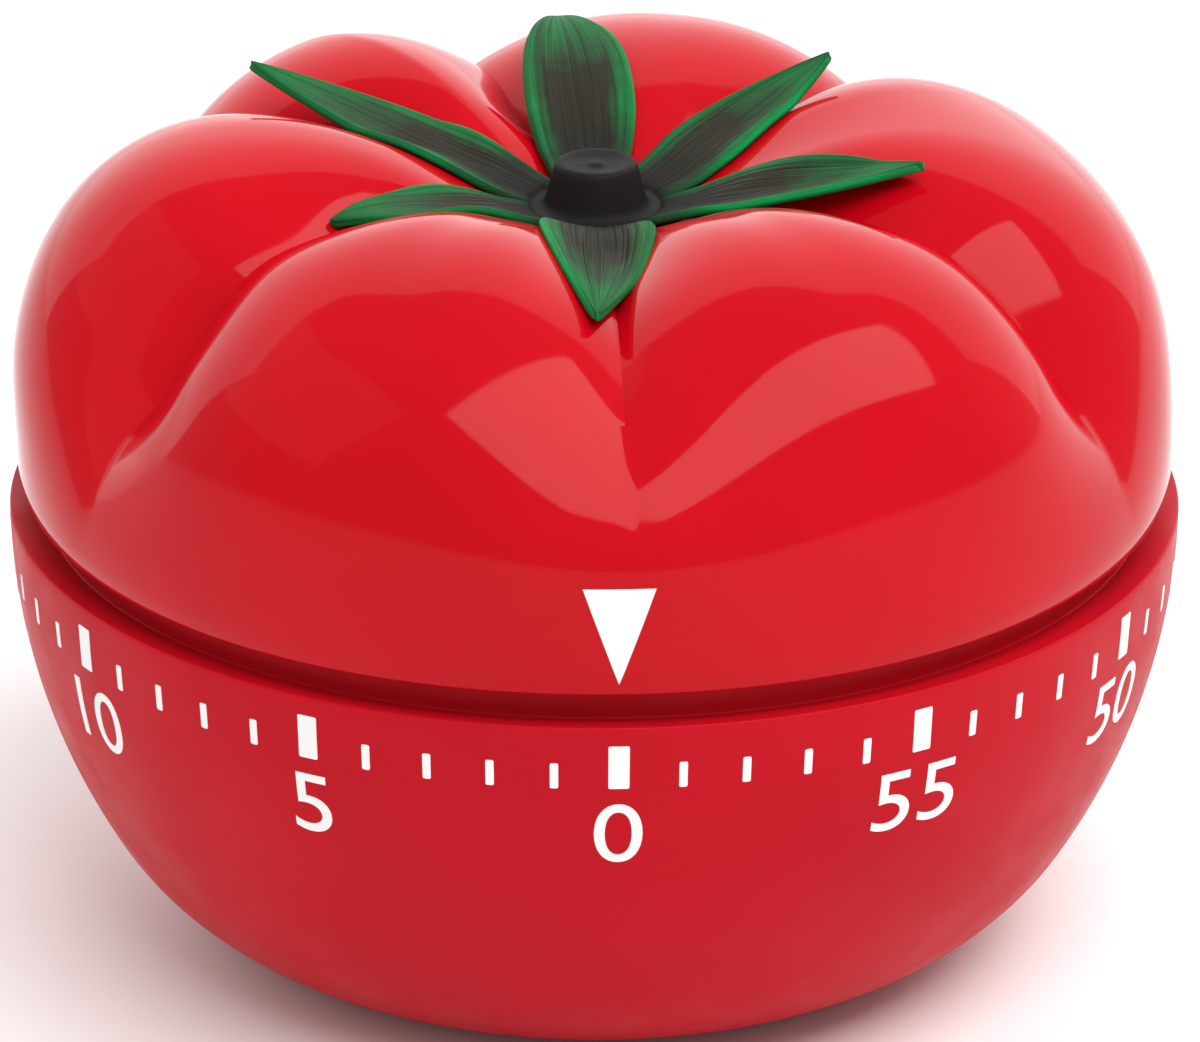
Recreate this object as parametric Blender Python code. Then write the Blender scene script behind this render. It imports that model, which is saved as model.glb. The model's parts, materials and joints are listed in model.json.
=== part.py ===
"""Wind-up kitchen timer with a tomato-shaped case, modelled as its separate pieces.

All sizes below are in millimetres and each piece is built about its own axis;
piece() brings its mesh to metres. Angles are in degrees round the vertical axis,
counted from the front (-Y) towards +X.
"""
import math

import bmesh
import bpy
from mathutils import Matrix, Vector

MILLIMETRE = 0.001

# Case
CASE_RADIUS = 35.1          # outer edge of the bowl, the widest place of the case
BOWL_EDGE_Z = 27.3          # height of that edge
BOWL_ARC = 38.0             # radius of the bowl's side, seen in section
FOOT_ARC = 16.0             # rounding between the side and the flat base
WALL = 2.0
DOME_RADIUS = 34.6
DOME_WAIST_Z = 30.3         # where the dome is widest
DOME_RISE = 22.0            # height of the dome above its waist, without the dimple
DOME_RIM = (34.3, 28.9)     # radius and height of the dome's lower edge
DOME_POWER = 2.95           # exponent of the dome's rounded-square section
DOME_WALL = 1.8
DIMPLE_DEPTH = 8.5          # puts the dimple's floor under the calyx's hub
DIMPLE_RADIUS = 12.6
DIMPLE_POWER = 1.84         # exponent of the dimple's section
RECESS = (3.4, 42.4)        # radius and floor of the recess in the dimple
DOME_BOSS = (5.0, 31.0)     # radius and lower end of the boss that takes the arbor
GROOVES = (1.0, 63.0, 138.0, 196.0, 241.0, 302.0)
GROOVE_DEPTH = 3.0
GROOVE_SPREAD = 28.0        # a groove's slopes reach this far to each side
GROOVE_FOOT_Z = 36.0        # the grooves run out at this height
COLLAR = (31.6, 32.8, 30.8)  # inner radius, outer radius and top of the bowl's collar
COVER_RADIUS = 13.7
COVER_THICKNESS = 1.3
GAP = 0.3                   # clearance between pieces that touch

# Calyx: direction of each leaf, reach of its tip and how far the tip stands off the dome
LEAVES = ((0.0, 23.5, 0.0), (73.0, 20.5, 0.0), (126.0, 18.5, 0.5),
          (181.0, 20.5, 0.3), (243.0, 23.0, 0.8), (295.0, 17.5, 0.0))
LEAF_SPREAD = 24.0          # half the angle that a leaf takes at its root
LEAF_THICKNESS = 0.8
HUB_RADIUS = 5.2
HUB_TOP = 46.0
STEM_RADIUS = 3.1
STEM_TOP = 48.2

# Movement plates and the train between them
PLATE_RADIUS = 27.3
BOTTOM_PLATE = (12.0, 13.0)
TOP_PLATE = (25.0, 26.0)
PILLARS = ((23.5, 10.0), (25.0, 165.0), (25.0, 258.0))
BOSSES = ((24.8, 45.0), (24.8, 215.0), (24.8, 310.0))
BOSS_RADIUS = 2.2

PRESSURE_ANGLE = math.radians(30.0)
ADDENDUM = 0.75             # tooth height over the pitch circle, in modules
DEDENDUM = 1.0
BACKLASH = 0.16             # slack between meshing teeth at the pitch circle

MAIN_TEETH = 42
SECOND_PINION = 7
MAIN_PITCH_RADIUS = 13.5
WHEEL_TEETH = 36
PINION_TEETH = 6
WHEEL_PITCH_RADIUS = 9.6
BARREL_MODULE = 2 * MAIN_PITCH_RADIUS / MAIN_TEETH
TRAIN_MODULE = 2 * WHEEL_PITCH_RADIUS / WHEEL_TEETH
ESCAPE_TEETH = 15
ESCAPE_RADIUS = 6.0
STAR_TEETH = 8
STAR_RADIUS = 5.0
SECOND_ANGLE = 60.0
THIRD_RADIUS = 17.0
ESCAPE_PLACE = 18.0
PALLET_PLACE = 18.5
BALANCE_AT = (18.3, 187.0)
BALANCE_RADIUS = 7.5
STRIKE_ANGLE = 300.0
HAMMER_PLACE = 18.0
DETENT_AT = (21.0, 230.0)
PIN_RADIUS = 0.3
PIN_CLEARANCE = 0.12        # pallet pins outside the tooth tips at mid swing

CAM_RADIUS = 8.5
FINGER_RADIUS = 9.4         # where the detent's finger rests, just clear of the cam
STOP_POST_AT = (12.0, 100.0)
STOP_OFFSET = 6.0           # angle between the stop tab and its post at zero
BELL_RADIUS = 22.0
BELL_FLOOR = 4.4
BELL_RIM = 10.4
BELL_WALL = 0.8

FINISHES = {
    "red_gloss": ((0.62, 0.010, 0.020), 0.12, 0.0),
    "red_satin": ((0.55, 0.012, 0.022), 0.30, 0.0),
    "leaf": ((0.02, 0.22, 0.06), 0.45, 0.0),
    "brass": ((0.72, 0.52, 0.22), 0.30, 1.0),
    "steel": ((0.55, 0.56, 0.58), 0.28, 1.0),
    "spring": ((0.25, 0.29, 0.38), 0.25, 1.0),
    "bell": ((0.75, 0.75, 0.74), 0.15, 1.0),
    "white_plastic": ((0.80, 0.79, 0.74), 0.45, 0.0),
}


def polar(radius, angle):
    """Point at a radius and an angle from the front."""
    turn = math.radians(angle)
    return Vector((radius * math.sin(turn), -radius * math.cos(turn)))


def direction(start, end):
    """Angle from the front of the line from one point to another."""
    return math.degrees(math.atan2(end.x - start.x, start.y - end.y))


def swing_out(start_radius, start_angle, distance, end_radius):
    """Point at end_radius whose distance from a polar point is given, anticlockwise from it."""
    cosine = (start_radius ** 2 + end_radius ** 2 - distance ** 2) / (2 * start_radius * end_radius)
    return polar(end_radius, start_angle + math.degrees(math.acos(cosine)))


# Shapes -----------------------------------------------------------------------

def clean(bm):
    bmesh.ops.remove_doubles(bm, verts=bm.verts, dist=0.0005)
    bmesh.ops.recalc_face_normals(bm, faces=bm.faces)
    return bm


def turned(profile, steps=16):
    """Solid of revolution of a (radius, height) outline about the vertical axis."""
    bm = bmesh.new()
    points = [bm.verts.new((radius, 0.0, height)) for radius, height in profile]
    sides = [bm.edges.new(pair) for pair in zip(points, points[1:])]
    if profile[0][0] > 0.0:
        sides.append(bm.edges.new((points[-1], points[0])))
    bmesh.ops.spin(bm, geom=points + sides, axis=(0, 0, 1), cent=(0, 0, 0),
                   angle=math.tau, steps=steps, use_merge=True)
    return clean(bm)


def prism(outline, low, high):
    """Flat outline extruded from one height to another."""
    bm = bmesh.new()
    face = bm.faces.new([bm.verts.new((x, y, low)) for x, y in outline])
    grown = bmesh.ops.extrude_face_region(bm, geom=[face])
    top = [item for item in grown["geom"] if isinstance(item, bmesh.types.BMVert)]
    bmesh.ops.translate(bm, vec=(0, 0, high - low), verts=top)
    return clean(bm)


def cylinder(radius, low, high, at=(0.0, 0.0), sides=12):
    bm = bmesh.new()
    middle = Matrix.Translation((at[0], at[1], (low + high) / 2))
    bmesh.ops.create_cone(bm, cap_ends=True, segments=sides, radius1=radius, radius2=radius,
                          depth=high - low, matrix=middle)
    return bm


def bar(start, end, width, low, high):
    """Flat bar with round ends between two points."""
    heading = math.radians(direction(Vector(start), Vector(end)))
    outline = []
    for centre, first in ((end, heading - math.pi / 2), (start, heading + math.pi / 2)):
        for step in range(5):
            turn = first + math.pi * step / 4
            outline.append((centre[0] + width / 2 * math.sin(turn),
                            centre[1] - width / 2 * math.cos(turn)))
    return prism(outline, low, high)


def combine(base, others, operation="UNION"):
    """Joins, cuts or intersects a solid with others, exactly."""
    target = bpy.data.objects.new("target", as_mesh(base, "target"))
    bpy.context.collection.objects.link(target)
    tools = []
    for other in others:
        tool = bpy.data.objects.new("tool", as_mesh(other, "tool"))
        bpy.context.collection.objects.link(tool)
        change = target.modifiers.new("change", "BOOLEAN")
        change.operation = operation
        change.object = tool
        tools.append(tool)
    evaluated = target.evaluated_get(bpy.context.evaluated_depsgraph_get())
    result = bmesh.new()
    result.from_mesh(evaluated.to_mesh())
    evaluated.to_mesh_clear()
    for helper in [target] + tools:
        bpy.data.objects.remove(helper)
    bmesh.ops.remove_doubles(result, verts=result.verts, dist=0.0005)
    return result


def as_mesh(bm, name):
    mesh = bpy.data.meshes.new(name)
    bm.to_mesh(mesh)
    bm.free()
    return mesh


def finish_material(finish):
    found = bpy.data.materials.get(finish)
    if found:
        return found
    colour, roughness, metallic = FINISHES[finish]
    material = bpy.data.materials.new(finish)
    material.use_nodes = True
    shader = material.node_tree.nodes["Principled BSDF"]
    shader.inputs["Base Color"].default_value = (*colour, 1.0)
    shader.inputs["Roughness"].default_value = roughness
    shader.inputs["Metallic"].default_value = metallic
    material.diffuse_color = (*colour, 1.0)
    return material


def piece(name, bm, finish, at=(0.0, 0.0), parent=None):
    """Makes a named object of a solid, with its origin on its own vertical axis."""
    bmesh.ops.transform(bm, matrix=Matrix.Scale(MILLIMETRE, 4), verts=bm.verts)
    mesh = as_mesh(bm, name)
    mesh.materials.append(finish_material(finish))
    mesh.shade_smooth()
    mesh.set_sharp_from_angle(angle=math.radians(35.0))
    made = bpy.data.objects.new(name, mesh)
    bpy.context.collection.objects.link(made)
    made.location = (at[0] * MILLIMETRE, at[1] * MILLIMETRE, 0.0)
    made.parent = parent
    return made


# Case -------------------------------------------------------------------------

def arc(centre, radius, start, end, count):
    """Points on a circle in the section plane, from one angle to another above the horizontal."""
    turns = [math.radians(start + (end - start) * step / (count - 1)) for step in range(count)]
    return [(centre[0] + radius * math.cos(turn), centre[1] + radius * math.sin(turn))
            for turn in turns]


def bowl_side(inset, floor, top_angle=0.0):
    """Outline of the bowl's side and foot moved inwards, from the edge down to a floor."""
    centre = CASE_RADIUS - BOWL_ARC
    foot = centre + math.sqrt((BOWL_ARC - FOOT_ARC) ** 2 - (BOWL_EDGE_Z - FOOT_ARC) ** 2)
    meeting = math.degrees(math.atan2(FOOT_ARC - BOWL_EDGE_Z, foot - centre))
    lowest = -math.degrees(math.asin((FOOT_ARC - floor) / (FOOT_ARC - inset)))
    side = arc((centre, BOWL_EDGE_Z), BOWL_ARC - inset, top_angle, meeting, 6)
    return side + arc((foot, FOOT_ARC), FOOT_ARC - inset, meeting, lowest, 6)[1:]


def bottom_shell():
    """Bowl with the collar that the dome turns on and the bosses that carry the movement."""
    floor, opening = 3.2, 11.7
    recess = COVER_RADIUS + GAP
    collar_in, collar_out, collar_top = COLLAR
    outline = bowl_side(0.0, 0.0)
    outline += [(recess, 0.0), (recess, COVER_THICKNESS + GAP),
                (opening, COVER_THICKNESS + GAP), (opening, floor)]
    outline += reversed(bowl_side(WALL, floor, -4.0))
    outline += [(collar_in, 26.4), (collar_in, collar_top), (collar_out, collar_top), (collar_out, 26.8)]
    within = [(0.0, BOWL_EDGE_Z)] + bowl_side(WALL / 2, 2.4) + [(0.0, 2.4)]
    bosses = [cylinder(BOSS_RADIUS, 2.0, BOTTOM_PLATE[0] - GAP, polar(*place)) for place in BOSSES]
    bosses = [combine(boss, [turned(within, 40)], "INTERSECT") for boss in bosses]
    holes = [cylinder(1.2, 6.0, 13.0, polar(*place), 8) for place in BOSSES]
    return combine(combine(turned(outline, 40), bosses), holes, "DIFFERENCE")


def base_cover():
    ring_in, ring_out, ring_top = 10.0, 11.4, 2.9
    return turned([(0.0, 0.0), (COVER_RADIUS, 0.0), (COVER_RADIUS, COVER_THICKNESS),
                   (ring_out, COVER_THICKNESS), (ring_out, ring_top), (ring_in, ring_top),
                   (ring_in, COVER_THICKNESS), (0.0, COVER_THICKNESS)], 32)


def dome_height(radius, inset=0.0):
    """Height of the dome's surface over a radius, between the grooves."""
    share = min(radius / (DOME_RADIUS - inset), 1.0)
    crown = (DOME_RISE - inset) * (1.0 - share ** DOME_POWER) ** (1.0 / DOME_POWER)
    dimple = DIMPLE_DEPTH * math.exp(-(radius / DIMPLE_RADIUS) ** DIMPLE_POWER)
    return DOME_WAIST_Z + crown - dimple


def groove_depth(angle, radius, height):
    """How far the grooves sink the dome's surface; they fade at the dimple and down the side."""
    apart = [abs((angle - groove + 180.0) % 360.0 - 180.0) for groove in GROOVES]
    crease = max(1.0 - min(apart) / GROOVE_SPREAD, 0.0) ** 2.2
    fade_in = min(max((radius - 6.0) / 8.0, 0.0), 1.0)
    fade_out = min(max((height - GROOVE_FOOT_Z) / 9.0, 0.0), 1.0)
    return GROOVE_DEPTH * crease * fade_in * fade_out


def top_shell():
    recess_radius, recess_floor = RECESS
    boss_radius, boss_low = DOME_BOSS
    socket_radius, socket_top, bore = 2.15, 40.9, 1.3
    reaches = (5.5, 7.5, 10.0, 13.5, 18.0, 23.0, 28.0, 31.5, 34.0)
    outer = [(recess_radius, dome_height(0.0))] + [(reach, dome_height(reach)) for reach in reaches]
    inner = [(reach - 1.4, dome_height(reach - 1.4, DOME_WALL)) for reach in reversed(reaches[1:-1])]
    inner = [point for point in inner if point[0] > boss_radius + GAP]
    profile = outer + [(DOME_RADIUS, DOME_WAIST_Z), DOME_RIM, (DOME_RIM[0] - 1.0, DOME_RIM[1])]
    profile += [(DOME_RIM[0] - 1.0, DOME_WAIST_Z)] + inner
    profile += [(boss_radius, dome_height(boss_radius, WALL)), (boss_radius, boss_low),
                (socket_radius, boss_low), (socket_radius, socket_top), (bore, socket_top),
                (bore, recess_floor), (recess_radius, recess_floor)]
    bm = turned(profile, 42)
    for vert in bm.verts:
        radius = math.hypot(vert.co.x, vert.co.y)
        if radius > boss_radius + GAP:
            angle = direction(Vector((0.0, 0.0)), vert.co)
            rise = (vert.co.z - DOME_WAIST_Z) / DOME_RISE
            sink = groove_depth(angle, radius, vert.co.z)
            vert.co.x -= vert.co.x / radius * sink * (radius / DOME_RADIUS)
            vert.co.y -= vert.co.y / radius * sink * (radius / DOME_RADIUS)
            vert.co.z -= sink * rise
    return bm


def leaf_reach(angle):
    """Outline of the calyx: radius at an angle, with one pointed leaf in each direction."""
    reach = HUB_RADIUS
    for heading, tip, _ in LEAVES:
        apart = abs((angle - heading + 180.0) % 360.0 - 180.0) / LEAF_SPREAD
        if apart < 1.0:
            reach = max(reach, HUB_RADIUS + (tip - HUB_RADIUS) * (1.0 - apart) ** 1.6)
    return reach


def leaf_lift(angle, share):
    """Height of a leaf over the dome's crowns, rising towards its tip."""
    heading, _, lift = min(LEAVES, key=lambda leaf: abs((angle - leaf[0] + 180.0) % 360.0 - 180.0))
    return lift * share ** 2


def calyx():
    """Six leaves with the stem and the ring that grips the recess, one moulding."""
    bm = bmesh.new()
    steps, rings = 60, 4
    bmesh.ops.create_circle(bm, cap_ends=False, segments=steps, radius=1.0)
    rim = list(bm.edges)
    for _ in range(rings - 1):
        grown = bmesh.ops.extrude_edge_only(bm, edges=rim)
        verts = [item for item in grown["geom"] if isinstance(item, bmesh.types.BMVert)]
        rim = [item for item in grown["geom"] if isinstance(item, bmesh.types.BMEdge)
               and all(vert in verts for vert in item.verts)]
        bmesh.ops.scale(bm, vec=(1.2, 1.2, 1.0), verts=verts)
    bmesh.ops.holes_fill(bm, edges=[edge for edge in bm.edges if edge.is_boundary
                                    and edge.verts[0].co.length < 1.01], sides=steps)
    largest = 1.2 ** (rings - 1)
    for vert in bm.verts:
        flat = math.hypot(vert.co.x, vert.co.y)
        share = (flat - 1.0) / (largest - 1.0)
        angle = direction(Vector((0.0, 0.0)), vert.co)
        reach = HUB_RADIUS - 1.2 + (leaf_reach(angle) - HUB_RADIUS + 1.2) * share
        height = dome_height(reach) + GAP * (1.0 + share) + leaf_lift(angle, share)
        vert.co = (*polar(reach, angle), height)
    clean(bm)
    if sum(face.normal.z for face in bm.faces) < 0.0:
        bmesh.ops.reverse_faces(bm, faces=bm.faces)
    body = bmesh.ops.extrude_face_region(bm, geom=list(bm.faces), use_keep_orig=True)
    raised = [item for item in body["geom"] if isinstance(item, bmesh.types.BMVert)]
    bmesh.ops.translate(bm, vec=(0, 0, LEAF_THICKNESS), verts=raised)
    clean(bm)
    hub_low = dome_height(HUB_RADIUS - 1.2) + GAP
    stem = turned([(0.0, hub_low), (STEM_RADIUS, hub_low), (STEM_RADIUS, HUB_TOP),
                   (STEM_RADIUS - 0.6, STEM_TOP - 0.3), (STEM_RADIUS - 0.9, STEM_TOP),
                   (0.0, STEM_TOP)], 16)
    outer, low = STEM_RADIUS, RECESS[1] + GAP
    grip = turned([(outer - 0.4, low), (outer, low), (outer, hub_low + 0.3),
                   (outer - 0.4, hub_low + 0.3)], 16)
    return combine(bm, [stem, grip])


# Fasteners --------------------------------------------------------------------

def screw(head_low, head_radius, head_height, shank_radius, tip):
    """Slotted screw with its shank pointing down, or up where the tip is above the head."""
    head_high = head_low + head_height
    if tip < head_low:
        outline = [(0.0, tip), (shank_radius, tip), (shank_radius, head_low),
                   (head_radius, head_low), (head_radius, head_high), (0.0, head_high)]
        slot_at = head_high
    else:
        outline = [(0.0, head_low), (head_radius, head_low), (head_radius, head_high),
                   (shank_radius, head_high), (shank_radius, tip), (0.0, tip)]
        slot_at = head_low
    slot = prism([(-head_radius - 1, -0.25), (head_radius + 1, -0.25),
                  (head_radius + 1, 0.25), (-head_radius - 1, 0.25)],
                 slot_at - 0.4, slot_at + 0.4)
    return combine(turned(outline, 10), [slot], "DIFFERENCE")


# Gears and wheels -------------------------------------------------------------

def involute(angle):
    return math.tan(angle) - angle


def gear(teeth, module, phase, low, high, flanks=2):
    """Spur gear about the vertical axis with a tooth centred at the angle phase."""
    pitch = teeth * module / 2
    base = pitch * math.cos(PRESSURE_ANGLE)
    tip = pitch + ADDENDUM * module
    start = max(base, pitch - DEDENDUM * module)
    radii = [start + (tip - start) * step / (flanks - 1) for step in range(flanks)]
    if start > pitch - DEDENDUM * module:
        radii.insert(0, pitch - DEDENDUM * module)
    half_pitch = math.pi / 2 / teeth - BACKLASH / 2 / pitch
    halves = []
    for radius in radii:
        slant = involute(math.acos(min(base / radius, 1.0)))
        halves.append(math.degrees(half_pitch + involute(PRESSURE_ANGLE) - slant))
    outline = []
    for tooth in range(teeth):
        centre = phase + 360.0 * tooth / teeth
        outline += [polar(radius, centre - half) for radius, half in zip(radii, halves)]
        outline += [polar(radius, centre + half)
                    for radius, half in zip(reversed(radii), reversed(halves))]
    return prism(outline, low, high)


def mesh_phase(teeth, phase, heading, other_teeth):
    """Phase of a gear that meshes with another one lying in the direction heading from it."""
    turn = heading - phase
    return heading + 180.0 + turn * teeth / other_teeth + 180.0 / other_teeth


def pitch_distance(teeth, other_teeth, module):
    """Spacing of two arbors whose gears mesh."""
    return (teeth + other_teeth) * module / 2


def pivoted_arbor(radius=0.9):
    """Arbor between the plates with a thin pivot through each."""
    low, high = BOTTOM_PLATE[1] + GAP, TOP_PLATE[0] - GAP
    return turned([(0.0, BOTTOM_PLATE[0]), (0.5, BOTTOM_PLATE[0]), (0.5, low), (radius, low),
                   (radius, high), (0.5, high), (0.5, TOP_PLATE[1]), (0.0, TOP_PLATE[1])], 12)


def toothed_disc(teeth, radius, root, phase, low, high, lean=0.0):
    """Disc of pointed teeth with straight flanks, as on escape, star and ratchet wheels."""
    outline = []
    for tooth in range(teeth):
        for reach, offset in ((root, -0.40), (radius, lean), (root, 0.40)):
            outline.append(polar(reach, phase + (tooth + offset) * 360.0 / teeth))
    return prism(outline, low, high)


def main_wheel():
    wheel = gear(MAIN_TEETH, BARREL_MODULE, 0.0, 20.2, 21.2)
    bore = cylinder(2.1, 19.0, 22.0)
    windows = [cylinder(2.6, 19.0, 22.0, polar(8.2, angle), 8) for angle in range(30, 390, 90)]
    return combine(wheel, [bore] + windows, "DIFFERENCE")


def ratchet_wheel():
    wheel = toothed_disc(12, 5.0, 4.1, 0.0, 21.5, 22.3, 0.35)
    return combine(wheel, [cylinder(2.1, 21.0, 23.0)], "DIFFERENCE")


def click_plate():
    """Three-fingered spring plate that clicks over the ratchet wheel."""
    fingers = [bar(polar(2.9, angle), polar(4.7, angle + 35.0), 1.0, 22.6, 22.9)
               for angle in (0.0, 120.0, 240.0)]
    disc = combine(cylinder(3.3, 22.6, 22.9, sides=14), fingers)
    return combine(disc, [cylinder(2.1, 22.0, 24.0)], "DIFFERENCE")


def winding_arbor():
    low = BOTTOM_PLATE[0]
    shaft = turned([(0.0, low), (1.2, low), (1.2, 13.3), (1.8, 13.3), (1.8, 40.6), (0.0, 40.6)])
    return combine(shaft, [cylinder(1.2, 35.5, 42.0, sides=8)], "DIFFERENCE")


def stop_cam(tab_angle):
    """Disc that counts the hour: a notch lets the detent in at zero, a tab ends the turn."""
    disc = combine(cylinder(CAM_RADIUS, 27.6, 28.6, sides=32), [
        cylinder(4.0, 27.9, 30.0, sides=16),
        bar(polar(2.0, tab_angle), polar(12.2, tab_angle), 1.0, 29.0, 30.0)])
    finger = DETENT_AT[1] + math.degrees(math.acos(FINGER_RADIUS / DETENT_AT[0]))
    notch = [polar(radius, finger + offset) for radius, offset in
             ((5.8, -15.0), (9.5, -16.0), (9.5, 11.0), (5.8, 9.0))]
    cuts = [prism(notch, 27.0, 28.75), cylinder(2.1, 27.0, 31.0)]
    return combine(disc, cuts, "DIFFERENCE")


def spring_barrel(phase):
    """Drum of the mainspring with the strike gear cut on its floor."""
    floor = gear(MAIN_TEETH, BARREL_MODULE, phase, 13.7, 14.7)
    wall = turned([(9.2, 14.4), (10.0, 14.4), (10.0, 19.4), (9.2, 19.4)], 20)
    return combine(combine(floor, [wall]), [cylinder(2.15, 13.0, 15.0)], "DIFFERENCE")


def spiral(inner, outer, turns, thickness, low, high, per_turn):
    """Flat spring wound in a spiral."""
    count = int(turns * per_turn)
    middle = [(inner + (outer - inner) * step / count, 360.0 * step / per_turn)
              for step in range(count + 1)]
    outline = [polar(radius + thickness / 2, angle) for radius, angle in middle]
    outline += [polar(radius - thickness / 2, angle) for radius, angle in reversed(middle)]
    return prism(outline, low, high)


def balance_wheel():
    rim = turned([(6.3, 18.8), (BALANCE_RADIUS, 18.8), (BALANCE_RADIUS, 19.8), (6.3, 19.8)], 20)
    spoke = bar((-6.2, 0.0), (6.2, 0.0), 1.4, 19.0, 19.6)
    roller = cylinder(2.2, 18.7, 19.7, sides=14)
    return combine(pivoted_arbor(0.8), [rim, spoke, roller])


def anchor(arbor_radius, wheel_at, at, wheel_radius, span, low, high, pin_low):
    """Arbor with two arms whose pins stand either side of a toothed wheel."""
    toward = direction(wheel_at, at)
    reach = wheel_radius + PIN_RADIUS + PIN_CLEARANCE
    pins = [wheel_at + polar(reach, toward + side * span / 2) - at for side in (-1, 1)]
    arms = [bar((0.0, 0.0), pin, 1.3, low, high) for pin in pins]
    posts = [cylinder(PIN_RADIUS, pin_low, high - 0.2, pin, 8) for pin in pins]
    return combine(pivoted_arbor(arbor_radius), arms + posts)


def detent_lever(hammer_at):
    """Lever whose finger rides the cam and whose lower arm holds the hammer's tail."""
    at = polar(*DETENT_AT)
    opening = math.degrees(math.acos(FINGER_RADIUS / DETENT_AT[0]))
    finger = polar(FINGER_RADIUS, DETENT_AT[1] + opening) - at
    hook = (hammer_at - at) * 0.42
    low, high = BOTTOM_PLATE[1] + GAP, TOP_PLATE[0] - GAP
    shaft = turned([(0.0, BOTTOM_PLATE[0]), (0.5, BOTTOM_PLATE[0]), (0.5, low), (0.9, low),
                    (0.9, high), (0.7, high), (0.7, 28.6), (0.0, 28.6)], 12)
    boss = cylinder(1.6, 27.5, 28.7)
    return combine(shaft, [boss, bar((0.0, 0.0), finger, 1.1, 27.7, 28.5),
                           bar((0.0, 0.0), hook, 1.2, 18.4, 19.4)])


# Bell -------------------------------------------------------------------------

def bell():
    corner = 3.2
    outer = arc((BELL_RADIUS - corner, BELL_FLOOR + corner), corner, -90.0, 0.0, 5)
    inner = arc((BELL_RADIUS - corner, BELL_FLOOR + corner), corner - BELL_WALL, 0.0, -90.0, 4)
    return turned([(1.5, BELL_FLOOR)] + outer + [(BELL_RADIUS, BELL_RIM),
                  (BELL_RADIUS - BELL_WALL, BELL_RIM)] + inner + [(1.5, BELL_FLOOR + BELL_WALL)], 26)


def bell_post():
    low, high = BELL_FLOOR + BELL_WALL + GAP, BOTTOM_PLATE[0] - GAP
    post = turned([(0.0, low), (2.4, low), (3.0, low + 1.0), (3.0, high), (0.0, high)])
    return combine(post, [cylinder(1.4, low - 1.0, 9.9, sides=10)], "DIFFERENCE")


# Plates -----------------------------------------------------------------------

def plate(levels, pivots, others):
    """Round plate with pivot holes, and other holes given as (place, radius)."""
    low, high = levels
    disc = cylinder(PLATE_RADIUS, low, high, sides=36)
    holes = [cylinder(0.85, low - 1, high + 1, at, 8) for at in pivots]
    holes += [cylinder(radius, low - 1, high + 1, at, 8) for at, radius in others]
    return combine(disc, holes, "DIFFERENCE")


def pillar():
    low, high = BOTTOM_PLATE[1] + GAP, TOP_PLATE[0] - GAP
    post = turned([(0.0, BOTTOM_PLATE[0] + 0.1), (0.9, BOTTOM_PLATE[0] + 0.1), (0.9, low),
                   (1.7, low), (1.7, high), (0.0, high)], 10)
    return combine(post, [cylinder(1.1, 18.0, high + 1.0, sides=8)], "DIFFERENCE")


# Assembly ---------------------------------------------------------------------

def build_case(dial):
    piece("bottom_shell", bottom_shell(), "red_satin")
    piece("base_cover", base_cover(), "red_satin")
    piece("top_shell", top_shell(), "red_gloss", parent=dial)
    piece("calyx", calyx(), "leaf", parent=dial)
    piece("dome_screw", screw(42.7, 2.4, 0.9, 0.9, 36.5), "steel", parent=dial)


def build_winding(dial):
    tab_angle = STOP_POST_AT[1] - STOP_OFFSET
    piece("winding_arbor", winding_arbor(), "steel", parent=dial)
    piece("main_wheel", main_wheel(), "brass", parent=dial)
    piece("ratchet_wheel", ratchet_wheel(), "steel", parent=dial)
    piece("click_plate", click_plate(), "spring", parent=dial)
    piece("stop_cam", stop_cam(tab_angle), "white_plastic", parent=dial)
    piece("mainspring", spiral(2.7, 8.8, 4.5, 0.4, 15.0, 19.1, 12), "spring")


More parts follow.
